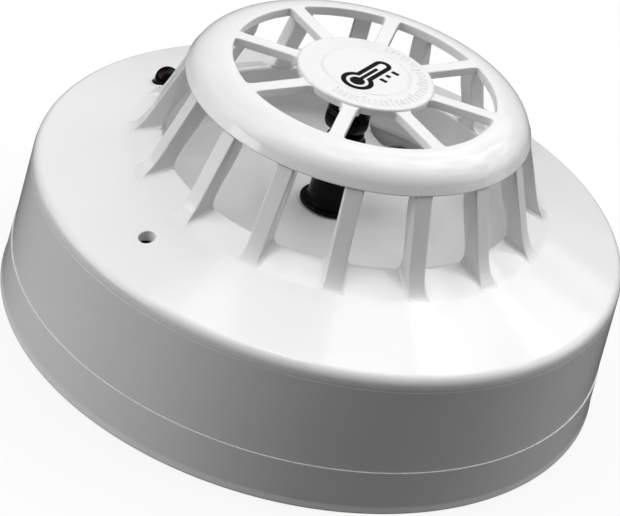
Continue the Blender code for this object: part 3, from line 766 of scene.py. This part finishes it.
def build_cover():
    cover = new_object("cover_and_cage", lathe(round_corners(SHELL, 10)))
    fins = []
    for k in range(FINS):
        thicker = THICKENING if k == THICK_FIN else 0.0
        fins.append(turned(fin(thicker), FIN_FIRST + k * 360.0 / FINS))
    join(cover, gather(fins))
    join(cover, cage_solid())
    # two opposite pockets: their walls first, then their hollows
    for degrees in (0.0, 180.0):
        join(cover, pocket(POCKET_R + 1.2, BOWL_R + 1.6, (19.0, 22.2), degrees))
    for degrees in (0.0, 180.0):
        cut(cover, pocket(POCKET_R, BOWL_R + 0.7, (20.2, FLOOR_Z + 0.3), degrees))
        cut(cover, pocket(POCKET_R, BOWL_R + 0.02, (20.6, 24.4), degrees))
    cut(
        cover,
        gather([cylinder(1.75, (17.0, 21.5), 32, spot) for spot in SCREW_SPOTS]),
        cylinder(3.4, (20.0, 24.0), 48, PILLAR),
        cylinder(LAMP_R + 0.3, (20.0, 32.0), 48, LAMP_SPOT),
        cylinder(1.28, (20.0, 32.0), 40, LOCK_SPOT),
        sector((26.5, 29.0), (24.2, 27.4), (163.5, 179.5), 8),
    )
    finish(cover, cover_mat, "head", ["front_cover"])


def keyhole(bulb, half, end, steps=28):
    """Outline of a round bulb with a round-ended stem running along +X from it."""
    start = math.asin(half / bulb)
    outline = []
    for i in range(steps + 1):
        angle = start + (2 * math.pi - 2 * start) * i / steps
        outline.append((-3.3 + bulb * math.cos(angle), bulb * math.sin(angle)))
    for i in range(13):
        angle = math.pi * (-0.5 + i / 12)
        outline.append((end - half + half * math.cos(angle), half * math.sin(angle)))
    return outline


def build_hub_mark():
    """A plain thermometer pictogram printed on the hub."""
    heights = (HUB_TOP - 0.03, HUB_TOP + 0.045)
    through = (heights[0] - 1, heights[1] + 1)
    rounding = 0.01
    mark = new_object("hub_mark", prism(keyhole(2.6, 1.45, 5.7), heights, rounding))
    cut(mark, prism(keyhole(1.78, 0.66, 4.9), through))
    inner = [prism(keyhole(1.2, 0.3, 2.7), heights, rounding)]
    for x, low in ((0.4, -3.2), (2.2, -2.75), (4.0, -3.2)):     # tick marks beside the stem
        tick = [(x - 0.36, low), (x + 0.36, low), (x + 0.36, -1.95), (x - 0.36, -1.95)]
        inner.append(prism(tick, heights, rounding))
    join(mark, gather(inner))
    mark.location = Vector((0.37, -0.8, 0.0)) * MM
    mark.rotation_euler = (0.0, 0.0, math.radians(65.2))
    finish(mark, ink_mat, "head")


build_cover()
build_hub_mark()


# ==========================================================================
# Base, seal, chassis: outlines are (r, z[, rounding])
# ==========================================================================
BASE = [
    (11.0, 0.0, 0.2), (49.84, 0.0, 0.25), (49.58, 1.2, 3.0), (49.21, 7.53, 0.06),
    (47.9, 7.53, 0.12), (47.9, 5.9), (45.8, 5.9, 0.15), (45.8, 2.0, 0.5),
    (12.4, 2.0, 0.4), (12.4, 3.4, 0.25), (11.0, 3.4, 0.25),
]
SEAL = [(46.1, 6.2, 0.2), (47.6, 6.2, 0.2), (47.6, 7.25, 0.3), (46.1, 7.25, 0.3)]
CHASSIS = [
    (0, 9.6), (39.4, 9.6, 0.3), (40.0, 8.0, 0.3), (46.6, 8.0, 0.25), (46.3, 12.5, 0.3),
    (45.1, 12.5, 0.3), (45.1, 9.6, 0.4), (41.2, 9.6, 0.4), (40.6, 11.2, 0.4), (0, 11.2),
]
SLOT_ENDS, SLOT_HALF = (25.5, 34.5), 2.2        # the base's two round-ended slots, along X
TERMINAL_BORE_R = 1.65
PEG_SPOTS = [polar(31.0, degrees) for degrees in (12.0, 172.0, -68.0)]
STUD_SPOTS = [polar(34.0, degrees + TWIST) for degrees in TERMINAL_DEG[:SPRINGS]]


def slot_outline():
    outline = []
    for centre, start in ((SLOT_ENDS[1], -90), (SLOT_ENDS[0], 90)):
        for i in range(13):
            angle = math.radians(start + 15 * i)
            outline.append((centre + SLOT_HALF * math.cos(angle), SLOT_HALF * math.sin(angle)))
    return outline


def build_base():
    base = new_object("base_shell", lathe(round_corners(BASE, 4)))
    tabs, stops = [], []
    for lug in LUG_DEG:
        middle = lug - TWIST
        tabs.append(sector((42.5, 46.4), (4.3, 5.7), (middle - 6.5, middle + 6.5), 10))
        stops.append(sector((42.6, 46.5), (1.6, 5.5), (middle - 8.3, middle - 6.2), 3))
    block = sector((37.5, 43.5), (1.6, 5.5), (-140.0, -135.0), 6)
    join(base, gather(tabs), gather(stops), block)
    pads, bores = [], []
    for degrees in TERMINAL_DEG:
        pad = moved(prism(rounded_rect(8.0, 7.6, 0.8), (1.6, 3.2)), (TERMINAL_R, 0.0))
        pads.append(turned(pad, degrees))
        bore = cylinder(TERMINAL_BORE_R, (0.8, 4.0), 28, (TERMINAL_R, 0.0))
        bores.append(turned(bore, degrees))
    join(base, gather(pads))
    cut(base, gather(bores))
    slots = [turned(prism(slot_outline(), (-1.0, 3.0)), degrees) for degrees in (0.0, 180.0)]
    cut(base, gather(slots))
    finish(base, base_mat, "base", ["base_moulding"])


def build_seal():
    seal = new_object("seal_band", lathe(round_corners(SEAL, 4)))
    finish(seal, seal_mat, "seal", ["seal_ring"])


def build_chassis():
    chassis = new_object("chassis_plate", lathe(round_corners(CHASSIS, 4), 180))
    legs = [sector((40.4, 42.1), (2.6, 8.8), (lug - 5.5, lug + 5.5), 8) for lug in LUG_DEG]
    feet = [sector((40.5, 45.3), (2.6, 4.0), (lug - 5.3, lug + 5.3), 8) for lug in LUG_DEG]
    join(chassis, gather(legs), gather(feet))
    posts = [cylinder(3.0, (10.2, 18.7), 32, spot) for spot in SCREW_SPOTS]
    pegs = [cylinder(1.6, (10.3, 13.3), 20, spot) for spot in PEG_SPOTS]
    rests = [cylinder(2.5, (8.2, 10.4), 28, spot) for spot in STUD_SPOTS]
    lock_boss = cylinder(3.2, (8.25, 13.0), 32, LOCK_SPOT)
    join(chassis, gather(posts + pegs), gather(rests), lock_boss)
    bores = [cylinder(1.7, (11.9, 20.0), 24, spot) for spot in SCREW_SPOTS]
    bores += [cylinder(1.35, (7.0, 12.0), 20, spot) for spot in STUD_SPOTS]
    bores.append(cylinder(1.8, (7.0, 14.0), 24, LOCK_SPOT))
    cut(chassis, gather(bores))
    finish(chassis, chassis_mat, "head", ["rear_chassis"])


build_base()
build_seal()
build_chassis()


# ==========================================================================
# Sensing pillar, lamp, screws: turned outlines are (r, z[, rounding])
# ==========================================================================
COLUMN = [
    (1.2, 16.2), (3.0, 16.2, 0.15), (3.0, 22.9, 0.05), (4.82, 22.9, 0.12), (4.82, 23.5, 0.25),
    (3.8, 23.7, 0.35), (3.2, 35.1, 0.3), (2.7, 35.7, 0.2), (2.7, 36.3, 0.12), (1.2, 36.3),
]
# The tip's eight-sided plan (x, y), and its size factor at each height
TIP_PLAN = [
    (-4.1, 1.5), (-4.1, -1.5), (-2.3, -3.1), (1.3, -3.1),
    (2.9, -1.6), (2.9, 1.6), (1.3, 3.1), (-2.3, 3.1),
]
TIP_LEVELS = [(0.66, 36.6), (0.9, 37.2), (1.0, 38.3), (1.0, 39.4), (0.9, 40.3), (0.6, 41.0)]
LAMP_FOOT = [(0, 22.6), (2.35, 22.6), (2.35, 23.5), (LAMP_R, 23.6)]
COVER_SCREW = [
    (0, 12.3), (0.9, 12.3), (1.4, 13.0), (1.4, 20.5), (2.5, 20.5, 0.1),
    (2.5, 21.1, 0.3), (1.9, 21.85, 0.8), (0, 22.08),
]
TERMINAL_SCREW = [
    (0, 1.3), (1.0, 1.3), (1.3, 1.6), (1.3, 5.3), (2.6, 5.3, 0.1),
    (2.6, 6.3, 0.3), (2.0, 6.8, 0.6), (0, 6.93),
]
# The contact spring's side view, (x, z[, rounding]), and its plate sizes
SPRING_LINE = [
    (23.3, 3.71), (30.3, 3.71, 2.2), (33.2, 6.0, 1.6), (34.75, 6.76, 1.0), (36.6, 5.9)
]
SPRING_HALF_THICK, SPRING_HALF_WIDTH, SPRING_END_HALF_WIDTH = 0.21, 2.1, 1.8
GRUB = [(0, 6.2), (0.8, 6.2), (1.5, 6.9), (1.5, 12.2, 0.2), (0, 12.2)]


def build_column():
    column = new_object("sensor_column", lathe(round_corners(COLUMN, 5), 96, centre=PILLAR))
    finish(column, holder_mat, "head", ["thermistor_holder"])


def build_tip():
    middle = sum(x for x, _ in TIP_PLAN) / len(TIP_PLAN)
    solid = loft([
        [(middle + (x - middle) * size, y * size, z) for x, y in TIP_PLAN]
        for size, z in TIP_LEVELS
    ])
    bevel_edges(solid, list(solid.edges), offset=0.30, segments=4)
    obj = new_object("sensor_tip", moved(solid, PILLAR))
    finish(obj, tip_mat, "head", ["thermistor_tip"], sharp_deg=40.0)


def build_lamp():
    dome = []
    for degrees in range(0, 90, 6):
        angle = math.radians(degrees)
        dome.append((LAMP_R * math.cos(angle), 28.55 + 2.14 * math.sin(angle)))
    profile = LAMP_FOOT + dome + [(0, 30.69)]
    material = lens_material()
    lamp = new_object("alarm_lamp", lathe(profile, 64, centre=LAMP_SPOT))
    finish(lamp, material, "head", ["alarm_led"])


def screw(name, profile, segments, depth, half_width, length):
    """A turned screw with a cross recess whose arms narrow as they go down."""
    obj = new_object(name, lathe(round_corners(profile, 4), segments))
    top = profile[-1][1]
    for degrees in (0, 90):
        rings = []
        for size, z in ((0.62, top - depth), (1.0, top), (1.35, top + 0.4)):
            x, y = length * size, half_width * (0.7 + 0.3 * size)
            rings.append([(-x, -y, z), (x, -y, z), (x, y, z), (-x, y, z)])
        cut(obj, turned(loft(rings), degrees))
    return obj


def build_cover_screws():
    source = screw("cover_screw_1", COVER_SCREW, 48, depth=1.0, half_width=0.32, length=1.45)
    for i, spot in enumerate(SCREW_SPOTS):
        obj = place(source, "cover_screw", i, 25.0, spot)
        finish(obj, screw_mat, "head", [f"head_screw_{i + 1}"])


def build_terminals():
    head = screw("terminal_head_1", TERMINAL_SCREW, 40, depth=0.9, half_width=0.3, length=1.5)
    square = prism(rounded_rect(6.2, 6.2, 0.6), (4.2, 5.0), rounding=0.14, both=True)
    plate = new_object("clamp_plate_1", square)
    cut(plate, cylinder(TERMINAL_BORE_R, (3.0, 6.0), 32))
    for i, degrees in enumerate(TERMINAL_DEG):
        spot = polar(TERMINAL_R, degrees)
        for source, name, node, extra in (
            (head, "terminal_head", "terminal_screw", 17.0 * i),    # each head turned further
            (plate, "clamp_plate", "terminal_clamp", 0.0),
        ):
            obj = place(source, name, i, degrees + extra, spot)
            body = f"terminal_{i + 1}"
            finish(obj, terminal_mat, body, [f"{node}_{i + 1}"])


def spring_strip():
    """The contact spring's bent strip, rounded at its bends and narrower at its ends."""
    line = round_corners(SPRING_LINE, 5)
    final = len(line) - 1
    rings = []
    for i, (x, z) in enumerate(line):
        back, ahead = line[max(0, i - 1)], line[min(final, i + 1)]
        off = Vector((-(ahead[1] - back[1]), ahead[0] - back[0])).normalized() * SPRING_HALF_THICK
        y = SPRING_HALF_WIDTH if 0 < i < final else SPRING_END_HALF_WIDTH
        rings.append([
            (x - off.x, -y, z - off.y), (x - off.x, y, z - off.y),
            (x + off.x, y, z + off.y), (x + off.x, -y, z + off.y),
        ])
    return loft(rings)


def build_springs():
    source = new_object("spring_leaf_1", spring_strip())
    cut(source, cylinder(TERMINAL_BORE_R, (2.0, 4.6), 28, (TERMINAL_R, 0.0)))
    for i in range(SPRINGS):
        obj = place(source, "spring_leaf", i, TERMINAL_DEG[i])
        node = f"contact_spring_{i + 1}"
        finish(obj, spring_mat, "base", [node], sharp_deg=25.0)


def build_grub_screw():
    grub = new_object("grub_screw", lathe(round_corners(GRUB, 3), 40))
    cut(grub, cylinder(0.85, (10.2, 13.0), 6))      # hexagonal socket
    grub.location = Vector((*LOCK_SPOT, 0.0)) * MM
    finish(grub, grub_mat, "lock_screw", ["locking_grub_screw"])


build_column()
build_tip()
build_lamp()
build_cover_screws()
build_terminals()
build_springs()
build_grub_screw()


# ==========================================================================
# Finishes of the CAD nodes that stay
# ==========================================================================
def dress_cad_nodes():
    resistor_x = resistor_material("resistor_rings_x", axis=0)
    resistor_y = resistor_material("resistor_rings_y", axis=1)
    diode = mottled("diode_black_body", (0.022, 0.022, 0.023), rough=0.36)
    board = board_material()
    sleeve = mottled("capacitor_blue_sleeve", (0.018, 0.030, 0.085), rough=0.28, variation=0.3)
    chip = mottled(
        "chip_black_epoxy", (0.018, 0.018, 0.019), rough=0.46, variation=0.3, scale=1800.0, bump=0.3
    )
    transistor = mottled(
        "transistor_black", (0.020, 0.020, 0.021), rough=0.42, variation=0.3, scale=1800.0, bump=0.3
    )
    bead = mottled("bead_dark_epoxy", (0.085, 0.026, 0.016), rough=0.26, variation=0.3)
    looks = [
        (board, ["circuit_board"]),
        (sleeve, ["smoothing_capacitor"]),
        (chip, ["amplifier_ic"]),
        (transistor, ["alarm_transistor"]),
        (resistor_x, ["resistor_1", "resistor_2"]),
        (resistor_y, ["resistor_3", "resistor_4"]),
        (diode, ["diode_1", "diode_2", "surge_suppressor"]),
        (bead, ["reference_thermistor"]),
        (wire_mat, ["thermistor_lead_1", "thermistor_lead_2", "led_lead_1", "led_lead_2"]),
        (spring_mat, [f"contact_stud_{i + 1}" for i in range(SPRINGS)]),
    ]
    for material, names in looks:
        for name in names:
            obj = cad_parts[name]
            if not obj.material_slots:
                obj.data.materials.append(material)
            for item in obj.material_slots:
                item.material = material


dress_cad_nodes()


# ==========================================================================
# Floor, light, camera
# ==========================================================================
def floor_material():
    """A pale sheet, evenly lit to the camera and nearly black to every other ray."""
    look = Look("pale_floor")
    cloud = look.remap(look.noise(scale=2.5), span=(0.3, 0.7))
    sheet = look.mix(cloud, grey(0.125), grey(0.12))
    look.set(Base_Color=sheet, Roughness=0.9, Specular_IOR_Level=0.0)
    look.set(Emission_Color=look.mix(cloud, grey(0.85), grey(0.84)), Emission_Strength=1.0)
    dim = look.add("ShaderNodeBsdfDiffuse")
    dim.inputs["Color"].default_value = grey(0.02)
    rays = look.add("ShaderNodeLightPath")
    blend = look.add("ShaderNodeMixShader")
    look.link(rays.outputs["Is Camera Ray"], blend.inputs[0])
    look.link(dim.outputs[0], blend.inputs[1])
    look.link(look.shader.outputs[0], blend.inputs[2])
    look.link(blend.outputs[0], look.tree.nodes["Material Output"].inputs["Surface"])
    return look.material


def build_floor():
    solid = bmesh.new()
    bmesh.ops.create_grid(solid, x_segments=4, y_segments=4, size=6.0)
    floor = new_object("floor", solid)
    floor.location.z = -0.00005     # just clear of the mounting face
    floor.data.materials.append(floor_material())


def build_world():
    """A dim fill for the light, and a near-white background for the camera."""
    world = bpy.data.worlds.new("studio")
    bpy.context.scene.world = world
    world.use_nodes = True
    nodes, links = world.node_tree.nodes, world.node_tree.links
    fill = nodes["Background"]
    seen = nodes.new("ShaderNodeBackground")
    for node, tone, strength in ((fill, 1.0, 0.056), (seen, 0.985, 1.0)):
        node.inputs[0].default_value = grey(tone)
        node.inputs[1].default_value = strength
    rays = nodes.new("ShaderNodeLightPath")
    choose = nodes.new("ShaderNodeMixShader")
    links.new(rays.outputs["Is Camera Ray"], choose.inputs[0])
    links.new(fill.outputs[0], choose.inputs[1])
    links.new(seen.outputs[0], choose.inputs[2])
    links.new(choose.outputs[0], nodes["World Output"].inputs["Surface"])


# The studio's light as soft patches on a wide dome: azimuth, elevation, strength.
# A broad panel stands behind and to the right, a second one to the left, a weak one overhead.
PATCHES = [
    (-180, 5, 0.170), (-162, 5, 0.180), (-144, 5, 0.045), (-126, 5, 0.016), (0, 5, 0.031),
    (18, 5, 0.092), (36, 5, 0.040), (54, 5, 0.012), (162, 5, 0.084),
    (-171, 20, 0.207), (-153, 20, 0.060), (-135, 20, 0.020), (-9, 20, 0.021), (9, 20, 0.136),
    (27, 20, 0.152), (45, 20, 0.082), (63, 20, 0.018), (171, 20, 0.137),
    (-180, 36, 0.206), (-157.5, 36, 0.209), (-135, 36, 0.064), (-112.5, 36, 0.007),
    (0, 36, 0.127), (22.5, 36, 0.202), (45, 36, 0.213), (67.5, 36, 0.163), (90, 36, 0.074),
    (157.5, 36, 0.062),
    (-165, 52, 0.208), (-135, 52, 0.067), (-105, 52, 0.023), (-15, 52, 0.040), (15, 52, 0.194),
    (45, 52, 0.314), (75, 52, 0.171), (105, 52, 0.018), (165, 52, 0.120),
    (-180, 68, 0.162), (-135, 68, 0.088), (-90, 68, 0.030), (-45, 68, 0.025), (0, 68, 0.150),
    (45, 68, 0.283), (90, 68, 0.174), (135, 68, 0.117),
    (-135, 82, 0.151), (-45, 82, 0.102), (45, 82, 0.135), (135, 82, 0.163),
]


def light_patch(name, azimuth, elevation, strength, width):
    """A sun lamp of the given angular width, shining in from its place on the dome."""
    data = bpy.data.lights.new(name, "SUN")
    data.energy = strength
    data.angle = math.radians(width)
    obj = link_object(name, data)
    turn, rise = math.radians(azimuth), math.radians(elevation)
    toward = Vector((
        math.cos(rise) * math.cos(turn), math.cos(rise) * math.sin(turn), math.sin(rise)
    ))
    obj.location = toward * 1.5
    obj.rotation_euler = toward.to_track_quat("Z", "Y").to_euler()


def build_lights():
    for i, (azimuth, elevation, strength) in enumerate(PATCHES):
        in_panel = elevation >= 36 and -10 <= azimuth <= 100
        width = 25.0 if in_panel else 19.0
        light_patch(f"patch_{i + 1}", azimuth, elevation, strength, width)
    for i, azimuth in enumerate((-162.0, -154.0, -146.0)):
        light_patch(f"left_lamp_{i + 1}", azimuth, elevation=17.5, strength=0.07, width=8.5)


def build_camera():
    lens = bpy.data.cameras.new("camera")
    camera = link_object("camera", lens)
    # columns: the camera's right, up and backward directions, then its place in metres
    camera.matrix_world = Matrix((
        (0.9649371, -0.2624713, 0.0022658, 0.0),
        (0.1422436, 0.5156440, -0.8449130, -0.3384124),
        (0.2205971, 0.8156102, 0.5348989, 0.2256840),
        (0, 0, 0, 1),
    ))
    lens.sensor_width = 36.0
    lens.lens = 142.809585
    lens.shift_y = 0.001129032
    lens.clip_start, lens.clip_end = 0.01, 20.0
    bpy.context.scene.camera = camera


build_floor()
build_world()
build_lights()
view = bpy.context.scene.view_settings
view.view_transform = "Standard"
view.look = "None"
view.exposure = 0.0
build_camera()
